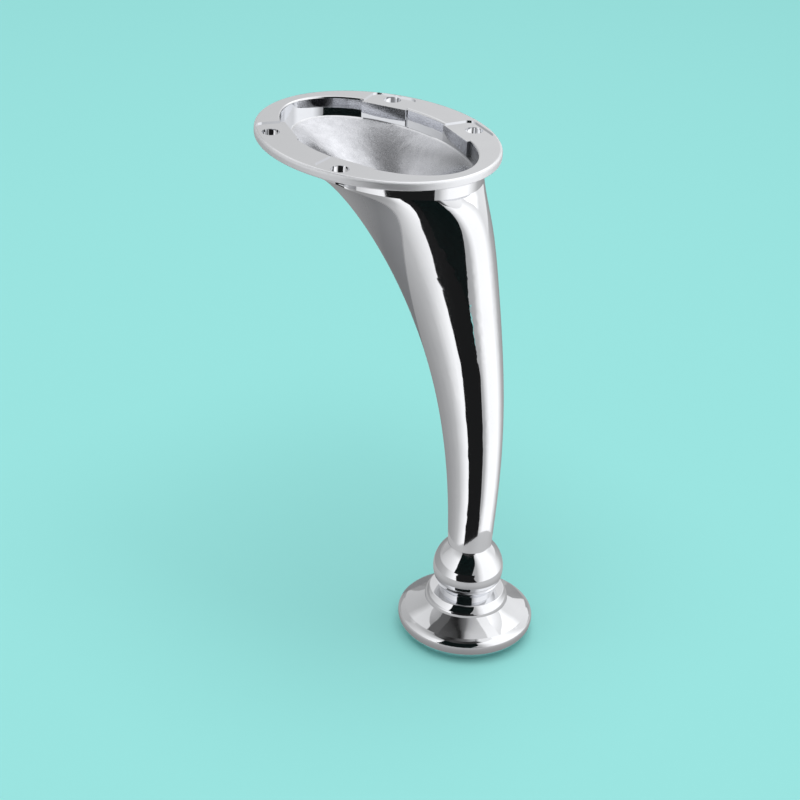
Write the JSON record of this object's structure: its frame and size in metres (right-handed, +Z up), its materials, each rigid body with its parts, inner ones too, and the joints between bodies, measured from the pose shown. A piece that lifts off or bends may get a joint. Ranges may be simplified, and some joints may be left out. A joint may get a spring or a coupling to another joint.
{
  "type": "metal furniture leg",
  "caption": "Curved chromed furniture leg with an oval hollow-mouthed flange, screw holes, a ball and a turned round foot.",
  "frame": {"origin": "centre of the foot's flat base, on the floor", "axes": "+Z up along the foot's axis, +X towards the side that the flange overhangs, mirror symmetric about the XZ plane"},
  "size_m": [0.112, 0.068, 0.15],
  "materials": {
    "chrome": "polished chrome outside, rough cast inside the hollow"
  },
  "bodies": {
    "root": {"leg_casting": "chrome"}
  },
  "joints": []
}
